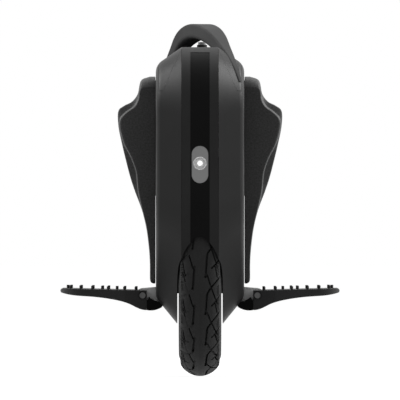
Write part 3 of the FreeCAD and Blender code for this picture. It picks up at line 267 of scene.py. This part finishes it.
def groove_outline(path, width):
    """Closed outline of a groove along a path."""
    left = []
    right = []
    for index, point in enumerate(path):
        ahead = path[min(index + 1, len(path) - 1)] - path[min(index, len(path) - 2)]
        back = path[max(index, 1)] - path[max(index - 1, 0)]
        normal_ahead = Vector((-ahead.y, ahead.x)).normalized()
        normal_back = Vector((-back.y, back.x)).normalized()
        mitre = (normal_ahead + normal_back).normalized()
        offset = mitre * (width / 2 / max(mitre.dot(normal_ahead), MITRE_LEAST))
        left.append(point + offset)
        right.append(point - offset)
    return right + left[::-1]


def pitch_grooves():
    """Outlines and depths of the grooves of one pitch, both halves."""
    lines = list(GROOVES)
    for first, last, count, inner, outer in SERRATIONS:
        for index in range(count):
            degrees = first + (last - first) * index / (count - 1)
            path = [(inner, degrees), (outer, degrees - SERRATION_SLANT_DEGREES)]
            lines.append((SERRATION_WIDTH, SERRATION_DEPTH, 1.0, path))
    outlines = []
    for width, depth, left_share, path in lines:
        outlines.append((groove_outline([on_tread(*p) for p in path], width), depth))
        mirrored = [on_tread(-share, MIRROR_DEGREES - degrees) for share, degrees in path]
        outlines.append((groove_outline(mirrored, width), depth * left_share))
    return outlines


def tread_pitch(edge):
    """Flat triangles of one pitch with the depth of each, in (across, along)."""
    length = math.radians(PITCH_DEGREES) * TREAD_SCALE
    points = [Vector((side * edge, end)) for end in (0.0, length) for side in (-1, 1)]
    edges = [(0, 1), (2, 3), (0, 2), (1, 3)]
    rows = round(length / TREAD_STEP)
    columns = round(2 * edge / TREAD_STEP)
    for row in range(rows + 1):
        for column in range(columns + 1):
            if row in (0, rows) and column in (0, columns):
                continue
            points.append(Vector((-edge + 2 * edge * column / columns, length * row / rows)))
    faces = []
    depths = []
    for outline, depth in pitch_grooves():
        middle = sum(p.y for p in outline) / len(outline)
        home = -math.floor(middle / length) * length
        for shift in (home - length, home, home + length):
            start = len(points)
            points.extend(p + Vector((0.0, shift)) for p in outline)
            faces.append(list(range(start, len(points))))
            depths.append(depth)
    flat, _, triangles, _, _, origins = delaunay_2d_cdt(points, edges, faces, ALL_TRIANGLES, CUT_TOLERANCE)
    kept = []
    for triangle, origin in zip(triangles, origins):
        centre = sum((flat[i] for i in triangle), Vector((0.0, 0.0))) / len(triangle)
        if abs(centre.x) < edge and 0.0 < centre.y < length:
            kept.append((triangle, max((depths[i] for i in origin), default=0.0)))
    return flat, kept, length


def weld_pitches(flat, pitch, length):
    """Places (across, along) of all pitches, each once, and the triangles between them with their depths."""
    around = round(length * PITCH_COUNT * WELD_PARTS)
    numbers = {}
    spots = []

    def spot(across, along):
        key = (round(across * WELD_PARTS), round(along * WELD_PARTS) % around)
        if key not in numbers:
            numbers[key] = len(spots)
            spots.append((across, along))
        return numbers[key]

    cells = []
    for index in range(PITCH_COUNT):
        for triangle, depth in pitch:
            corners = [spot(flat[i].x, flat[i].y + index * length) for i in triangle]
            if len(set(corners)) == len(triangle):
                cells.append((corners, depth))
    return spots, cells


class TyreMesh:
    """Points and faces of the tyre. A place on the tread has one point for each depth that meets there."""

    def __init__(self, spots, cells, whole):
        self.spots = spots
        self.whole = whole
        self.points = []
        self.faces = []
        self.numbers = {}
        self.levels = {}
        self.borders = {}
        for corners, depth in cells:
            for a, b in zip(corners, corners[1:] + corners[:1]):
                self.levels.setdefault(a, set()).add(depth)
                self.borders.setdefault((min(a, b), max(a, b)), []).append(depth)
            self.faces.append([self.vertex(corner, depth) for corner in corners])

    def vertex(self, where, depth):
        """Number of the point at a place and depth."""
        if (where, depth) not in self.numbers:
            self.numbers[where, depth] = len(self.points)
            self.points.append(tread_place(*self.spots[where], depth))
        return self.numbers[where, depth]

    def column(self, where, low, high):
        """Numbers of the points at a place between two depths."""
        return [self.vertex(where, d) for d in sorted(self.levels[where]) if low <= d <= high]

    def along(self, where):
        """Distance of a place along the whole tread."""
        return self.spots[where][1] % self.whole

    def add_groove_walls(self):
        """Walls where two depths meet."""
        for (a, b), depths in self.borders.items():
            low = min(depths)
            high = max(depths)
            if low != high:
                self.faces.append(self.column(a, low, high) + self.column(b, low, high)[::-1])

    def add_sidewall(self, side):
        """Wall from the tread's edge to the bead. Returns the bead's points with their places along it."""
        edges = [
            (a, b, depths[0]) for (a, b), depths in self.borders.items()
            if len(depths) == 1 and side * self.spots[a][0] > 0
        ]
        meeting = {}
        for a, b, depth in edges:
            meeting.setdefault(a, []).append(depth)
            meeting.setdefault(b, []).append(depth)
        order = sorted(meeting, key=self.along)
        first = len(self.points)
        for out, radius in SIDEWALL:
            for where in order:
                self.points.append(wheel_place(side * out, radius, self.spots[where][1] / TREAD_SCALE))
        ring = {where: first + index for index, where in enumerate(order)}
        for a, b, depth in edges:
            self.faces.append([self.vertex(a, depth), self.vertex(b, depth), ring[b], ring[a]])
        for where, depths in meeting.items():
            low, high = sorted(depths)
            if low != high:
                self.faces.append(self.column(where, low, high) + [ring[where]])
        count = len(order)
        bead = first + (len(SIDEWALL) - 1) * count
        for start in range(first, bead, count):
            self.faces.extend(ring_faces(start, start + count, count))
        return [(bead + index, self.along(where)) for index, where in enumerate(order)]


def bridge_faces(left, right, whole):
    """Triangles between two rings of (vertex, place along the ring)."""
    faces = []
    i = j = 0
    while i < len(left) or j < len(right):
        next_left = left[(i + 1) % len(left)][1] + (whole if i + 1 >= len(left) else 0)
        next_right = right[(j + 1) % len(right)][1] + (whole if j + 1 >= len(right) else 0)
        a = left[i % len(left)][0]
        b = right[j % len(right)][0]
        if j >= len(right) or (i < len(left) and next_left <= next_right):
            faces.append([a, b, left[(i + 1) % len(left)][0]])
            i += 1
        else:
            faces.append([a, b, right[(j + 1) % len(right)][0]])
            j += 1
    return faces


def make_tyre():
    """Tyre with grooves in its tread and steps on its sidewalls, closed between the beads."""
    edge = CROWN_RADIUS * math.asin(SHOULDER_OUT / CROWN_RADIUS)
    flat, pitch, length = tread_pitch(edge)
    spots, cells = weld_pitches(flat, pitch, length)
    mesh = TyreMesh(spots, cells, length * PITCH_COUNT)
    mesh.add_groove_walls()
    left_bead = mesh.add_sidewall(-1)
    right_bead = mesh.add_sidewall(1)
    mesh.faces.extend(bridge_faces(left_bead, right_bead, mesh.whole))
    tyre = new_piece("tyre_with_tread", mesh.points, mesh.faces, "wheel", "tyre_rubber", TYRE_SHADING_DEGREES)
    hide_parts("tyre")


def smooth_line(points, steps):
    """Points along a smooth line through the given ones."""
    line = []
    last = len(points) - 1
    for index in range(last):
        before, start, end, after = (
            Vector(points[min(max(i, 0), last)]) for i in (index - 1, index, index + 1, index + 2)
        )
        for step in range(steps):
            t = step / steps
            line.append(0.5 * (
                2 * start + (end - before) * t
                + (2 * before - 5 * start + 4 * end - after) * t * t
                + (3 * start - before - 3 * end + after) * t * t * t
            ))
    line.append(Vector(points[-1]))
    return line


def make_pad(name, side, node):
    """Leg pad, fullest in its middle, with a thin rounded front and rear edge."""
    edge_line = smooth_line(PAD_EDGE, PAD_STEPS)
    crown_line = smooth_line(PAD_CROWN, PAD_STEPS)
    rows = [(-distance, *rest) for distance, *rest in PAD_SECTIONS[::-1]] + PAD_SECTIONS[1:]
    points = []
    for y, thickness, drop, rise, crown in rows:
        section = []
        for edge, bulge in zip(edge_line, crown_line):
            out, down = edge.lerp(bulge, crown)
            up = 1.0 - down
            height = up - drop * up ** PAD_ROUND_POWER + rise * down ** PAD_ROUND_POWER
            section.append((out * thickness * PAD_THICKNESS, PAD_BOTTOM + PAD_HEIGHT * height))
        points.extend((side * (PAD_INNER + out), y, z) for out, z in section)
        points.extend((side * PAD_INNER, y, z) for _, z in section[::-1])
    count = len(edge_line)
    around = 2 * count
    end = (len(rows) - 1) * around
    faces = []
    for start in range(0, end, around):
        faces.extend(ring_faces(start, start + around, around))
    for start in (0, end):
        last = start + around - 1
        for index in range(count - 1):
            faces.append([start + index, start + index + 1, last - index - 1, last - index])
    pad = new_piece(name, points, faces, "chassis", "pad_rubber", PAD_SHADING_DEGREES)
    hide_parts(node)


def make_reflector():
    """Bright ring and bowl between the headlight's lens and its LED."""
    points = []
    faces = []
    count = len(REFLECTOR)
    for step in range(REFLECTOR_STEPS):
        turn = 2 * math.pi * step / REFLECTOR_STEPS
        for radius, depth in REFLECTOR:
            points.append((
                radius * math.cos(turn), LIGHT_FRONT + depth, LIGHT_HEIGHT + radius * math.sin(turn)
            ))
        after = (step + 1) % REFLECTOR_STEPS
        faces.extend(ring_faces(step * count, after * count, count))
    new_piece("headlight_reflector", points, faces, "chassis", "bare_aluminium", SMALL_SHADING_DEGREES)


def make_seam_shade_strips():
    """Dark strips behind the seams of the upper shell, on both sides, as painted shade in the seams."""
    points = []
    faces = []
    for side in (1, -1):
        for depth, upper, lower in SEAM_SHADE_STRIPS:
            first = len(points)
            for (x, y, z), (low_x, low_y, low_z) in zip(upper, lower):
                points += [
                    (side * x, y, z), (side * low_x, low_y, low_z),
                    (side * low_x, low_y + depth, low_z), (side * x, y + depth, z),
                ]
            last = len(points) - SHADE_STRIP_CORNERS
            for start in range(first, last, SHADE_STRIP_CORNERS):
                faces.extend(ring_faces(start, start + SHADE_STRIP_CORNERS, SHADE_STRIP_CORNERS))
            for start in (first, last):
                faces.append([start + index for index in range(SHADE_STRIP_CORNERS)])
    # painted shade: these dark strips stand for the shade inside the seam gaps
    new_piece("seam_shade_strips", points, faces, "chassis", "cap_rubber", SMALL_SHADING_DEGREES)


def soften_edges():
    """Small rounded edges on the hard ones of some nodes."""
    for name, width, segments in SOFT_EDGES:
        bevel = frame["nodes"][name].modifiers.new("soft_edges", "BEVEL")
        bevel.width = width * MM
        bevel.segments = segments
        bevel.limit_method = "ANGLE"
        bevel.angle_limit = math.radians(SOFT_EDGE_DEGREES)


def add_node(tree, kind, **values):
    """New shader node, with values for its settings and inputs."""
    node = tree.nodes.new(kind)
    for name, value in values.items():
        if hasattr(node, name):
            setattr(node, name, value)
        else:
            node.inputs[name.replace("_", " ")].default_value = value
    return node


def speckled(tree, place, colour, speckle):
    """Colour output with fine lighter and darker spots."""
    spots = add_node(
        tree, "ShaderNodeTexNoise", Scale=SPECKLE_SCALE, Detail=SPECKLE_DETAIL, Roughness=SPECKLE_ROUGHNESS
    )
    tree.links.new(place, spots.inputs["Vector"])
    ramp = add_node(tree, "ShaderNodeValToRGB")
    levels = (1 - speckle, 1 + speckle)
    for element, position, level in zip(ramp.color_ramp.elements, SPECKLE_RANGE, levels):
        element.position = position
        element.color = (level, level, level, 1.0)
    tree.links.new(spots.outputs["Fac"], ramp.inputs["Fac"])
    blend = add_node(tree, "ShaderNodeMix", data_type="RGBA", blend_type="MULTIPLY")
    blend.inputs["Factor"].default_value = 1.0
    tree.links.new(colour, blend.inputs["A"])
    tree.links.new(ramp.outputs["Color"], blend.inputs["B"])
    return blend.outputs["Result"]


def make_finish(slot, colour, spread, rough, rough_spread, grain, depth, specular=0.3, metallic=0.0,
                stretch=(1.0, 1.0, 1.0), blotch=25.0, speckle=0.0, alpha=1.0, glow=0.0):
    """Material with large soft colour changes, fine speckle, and grain in bump and roughness."""
    material = bpy.data.materials.new(slot + "_finish")
    material.use_nodes = True
    tree = material.node_tree
    shader = tree.nodes["Principled BSDF"]
    coords = add_node(tree, "ShaderNodeTexCoord")
    mapping = add_node(tree, "ShaderNodeMapping", Scale=stretch)
    tree.links.new(coords.outputs["Object"], mapping.inputs["Vector"])
    soft = add_node(tree, "ShaderNodeTexNoise", Scale=blotch, Detail=BLOTCH_DETAIL)
    fine = add_node(tree, "ShaderNodeTexNoise", Scale=grain, Detail=GRAIN_DETAIL)
    for noise in (soft, fine):
        tree.links.new(mapping.outputs["Vector"], noise.inputs["Vector"])
    tint = add_node(tree, "ShaderNodeMix", data_type="RGBA")
    tint.inputs["A"].default_value = [c * (1 - spread) for c in colour] + [1.0]
    tint.inputs["B"].default_value = [c * (1 + spread) for c in colour] + [1.0]
    tree.links.new(soft.outputs["Fac"], tint.inputs["Factor"])
    colour_out = tint.outputs["Result"]
    if speckle:
        colour_out = speckled(tree, coords.outputs["Object"], colour_out, speckle)
    tree.links.new(colour_out, shader.inputs["Base Color"])
    grain_low, grain_high = GRAIN_RANGE
    span = add_node(
        tree, "ShaderNodeMapRange", From_Min=grain_low, From_Max=grain_high,
        To_Min=rough - rough_spread, To_Max=rough + rough_spread
    )
    tree.links.new(fine.outputs["Fac"], span.inputs["Value"])
    tree.links.new(span.outputs["Result"], shader.inputs["Roughness"])
    bump = add_node(tree, "ShaderNodeBump", Strength=BUMP_STRENGTH, Distance=depth)
    tree.links.new(fine.outputs["Fac"], bump.inputs["Height"])
    tree.links.new(bump.outputs["Normal"], shader.inputs["Normal"])
    shader.inputs["Specular IOR Level"].default_value = specular
    shader.inputs["Metallic"].default_value = metallic
    shader.inputs["Alpha"].default_value = alpha
    if glow:
        shader.inputs["Emission Color"].default_value = WHITE
        shader.inputs["Emission Strength"].default_value = glow
    return material


def grey(value):
    """Colour with three equal parts."""
    return (value, value, value)


FINISHES = {slot: make_finish(slot, *values, **more) for slot, *values, more in [
    # slot, colour, spread, roughness, its spread, grain per metre, grain depth, more
    ("tyre_rubber", grey(0.022), 0.25, 0.62, 0.08, 900, 0.00012, dict(specular=0.15, speckle=0.2)),
    ("rim_black", grey(0.020), 0.15, 0.42, 0.06, 1800, 0.00004, dict(specular=0.4)),
    ("steel", grey(0.42), 0.10, 0.32, 0.08, 700, 0.00003, dict(metallic=1.0, stretch=(6.0, 1.0, 1.0))),
    ("magnet_plating", grey(0.60), 0.08, 0.22, 0.05, 400, 0.00002, dict(metallic=1.0)),
    ("black_steel", grey(0.035), 0.20, 0.45, 0.08, 1500, 0.00003, dict(metallic=0.6)),
    ("valve_brass", (0.55, 0.43, 0.20), 0.12, 0.3, 0.06, 900, 0.00002, dict(metallic=1.0)),
    ("copper", (0.62, 0.27, 0.12), 0.20, 0.3, 0.08, 300, 0.0002, dict(metallic=0.9, stretch=(1.0, 4.0, 4.0))),
    ("cable_sheath", grey(0.025), 0.20, 0.55, 0.06, 900, 0.00005, dict()),
    ("housing_plastic", grey(0.012), 0.20, 0.60, 0.06, 1300, 0.00006, dict(specular=0.2)),
    ("shell_plastic", grey(0.019), 0.10, 0.42, 0.05, 1700, 0.00004, dict(specular=0.09)),
    ("panel_plastic", grey(0.048), 0.10, 0.50, 0.05, 1700, 0.00004, dict(specular=0.015)),
    ("strip_gloss", grey(0.016), 0.15, 0.34, 0.03, 60, 0.00001, dict(specular=0.006)),
    ("lamp_grey", grey(0.40), 0.06, 0.36, 0.05, 1500, 0.00003, dict(specular=0.35)),
    ("lamp_lens", grey(0.80), 0.02, 0.08, 0.02, 200, 0.00001, dict(specular=0.5, alpha=0.22)),
    ("lamp_white", grey(0.90), 0.03, 0.4, 0.05, 800, 0.00002, dict(glow=1.2)),
    ("lamp_red", (0.30, 0.012, 0.014), 0.12, 0.12, 0.03, 500, 0.0003, dict(specular=0.5)),
    ("cap_rubber", grey(0.022), 0.20, 0.60, 0.06, 1200, 0.00006, dict(specular=0.25)),
    ("handle_plastic", grey(0.080), 0.12, 0.50, 0.05, 1600, 0.00005, dict(specular=0.0)),
    ("bare_aluminium", grey(0.52), 0.08, 0.34, 0.07, 600, 0.00003,
     dict(metallic=1.0, stretch=(1.0, 8.0, 1.0))),
    ("button_plastic", grey(0.34), 0.08, 0.30, 0.04, 1500, 0.00002, dict(specular=0.4)),
    ("pad_rubber", grey(0.070), 0.15, 0.55, 0.07, 850, 0.00014, dict(specular=0.12, speckle=0.3)),
    ("pin_steel", grey(0.17), 0.12, 0.46, 0.06, 1100, 0.00005, dict(specular=0.3)),
    ("hanger_grey", grey(0.28), 0.12, 0.46, 0.06, 1100, 0.00008, dict(metallic=1.0)),
    ("stop_black", grey(0.004), 0.20, 0.55, 0.06, 1100, 0.00008, dict(specular=0.03)),
    ("pedal_black", grey(0.020), 0.15, 0.50, 0.07, 1000, 0.00010, dict(specular=0.16)),
    ("battery_wrap", (0.03, 0.09, 0.26), 0.12, 0.35, 0.06, 260, 0.0001, dict()),
    ("board_green", (0.02, 0.13, 0.06), 0.20, 0.4, 0.06, 900, 0.00005, dict(blotch=120.0)),
    ("capacitor_sleeve", grey(0.02), 0.15, 0.28, 0.05, 500, 0.00003, dict()),
]}


def dress_nodes():
    """Gives every node of the frame the finish of its slot."""
    for row in frame["record"]["subparts"]:
        node = frame["nodes"][row["node"]]
        node.data.materials.clear()
        node.data.materials.append(FINISHES[row["material_slot"]])


def seen_rays(tree):
    """Output that is 1 for camera, glossy and transmission rays."""
    path = add_node(tree, "ShaderNodeLightPath")
    first = add_node(tree, "ShaderNodeMath", operation="MAXIMUM")
    second = add_node(tree, "ShaderNodeMath", operation="MAXIMUM")
    tree.links.new(path.outputs["Is Camera Ray"], first.inputs[0])
    tree.links.new(path.outputs["Is Glossy Ray"], first.inputs[1])
    tree.links.new(first.outputs[0], second.inputs[0])
    tree.links.new(path.outputs["Is Transmission Ray"], second.inputs[1])
    return second.outputs[0]


def make_world():
    """Background that is white where it is seen and lights the object more softly."""
    world = bpy.data.worlds.new("studio")
    world.use_nodes = True
    bpy.context.scene.world = world
    tree = world.node_tree
    tree.nodes.clear()
    lit = add_node(tree, "ShaderNodeBackground", Color=WHITE, Strength=ROOM_LIGHT)
    seen = add_node(tree, "ShaderNodeBackground", Color=WHITE, Strength=1.0)
    choice = add_node(tree, "ShaderNodeMixShader")
    output = add_node(tree, "ShaderNodeOutputWorld")
    tree.links.new(seen_rays(tree), choice.inputs["Fac"])
    tree.links.new(lit.outputs[0], choice.inputs[1])
    tree.links.new(seen.outputs[0], choice.inputs[2])
    tree.links.new(choice.outputs[0], output.inputs["Surface"])


def make_lamps():
    """Square lamps behind the object and above it, turned to its middle."""
    for name, place, size, watts in LAMPS:
        light = bpy.data.lights.new(name, "AREA")
        light.shape = "SQUARE"
        light.size = size
        light.energy = watts
        lamp = bpy.data.objects.new(name, light)
        lamp.location = place
        aim = Vector((0.0, 0.0, CAMERA_HEIGHT)) - Vector(place)
        lamp.rotation_euler = aim.to_track_quat("-Z", "Y").to_euler()
        bpy.context.scene.collection.objects.link(lamp)


def make_floor():
    """Pale floor that glows where it is seen."""
    mesh = bpy.data.meshes.new("floor")
    corners = [(x * FLOOR_HALF, y * FLOOR_HALF, -FLOOR_DROP) for x, y in ((-1, -1), (1, -1), (1, 1), (-1, 1))]
    mesh.from_pydata(corners, [], [(0, 1, 2, 3)])
    floor = bpy.data.objects.new("floor", mesh)
    bpy.context.scene.collection.objects.link(floor)
    material = bpy.data.materials.new("floor_white")
    material.use_nodes = True
    tree = material.node_tree
    tree.nodes.clear()
    matt = add_node(tree, "ShaderNodeBsdfDiffuse", Color=(*grey(FLOOR_GREY), 1.0))
    glow = add_node(tree, "ShaderNodeEmission", Color=WHITE)
    level = add_node(tree, "ShaderNodeMath", operation="MULTIPLY")
    level.inputs[1].default_value = FLOOR_GLOW
    total = add_node(tree, "ShaderNodeAddShader")
    output = add_node(tree, "ShaderNodeOutputMaterial")
    tree.links.new(seen_rays(tree), level.inputs[0])
    tree.links.new(level.outputs[0], glow.inputs["Strength"])
    tree.links.new(matt.outputs[0], total.inputs[0])
    tree.links.new(glow.outputs[0], total.inputs[1])
    tree.links.new(total.outputs[0], output.inputs["Surface"])
    mesh.materials.append(material)


def make_camera():
    """Camera far in front of the object, looking straight at it."""
    camera = bpy.data.objects.new("camera", bpy.data.cameras.new("camera"))
    camera.data.lens = CAMERA_LENS
    camera.data.sensor_width = SENSOR_WIDTH
    camera.data.clip_end = VIEW_END
    camera.location = (0.0, -CAMERA_DISTANCE, CAMERA_HEIGHT)
    camera.rotation_euler = (math.radians(90.0), 0.0, 0.0)
    bpy.context.scene.collection.objects.link(camera)
    bpy.context.scene.camera = camera


bpy.context.scene.view_settings.view_transform = "Standard"
make_world()
make_lamps()
make_floor()
make_camera()
dress_nodes()
make_tyre()
make_pad("right_leg_pad", 1, "right_pad")
make_pad("left_leg_pad", -1, "left_pad")
make_reflector()
make_seam_shade_strips()
soften_edges()
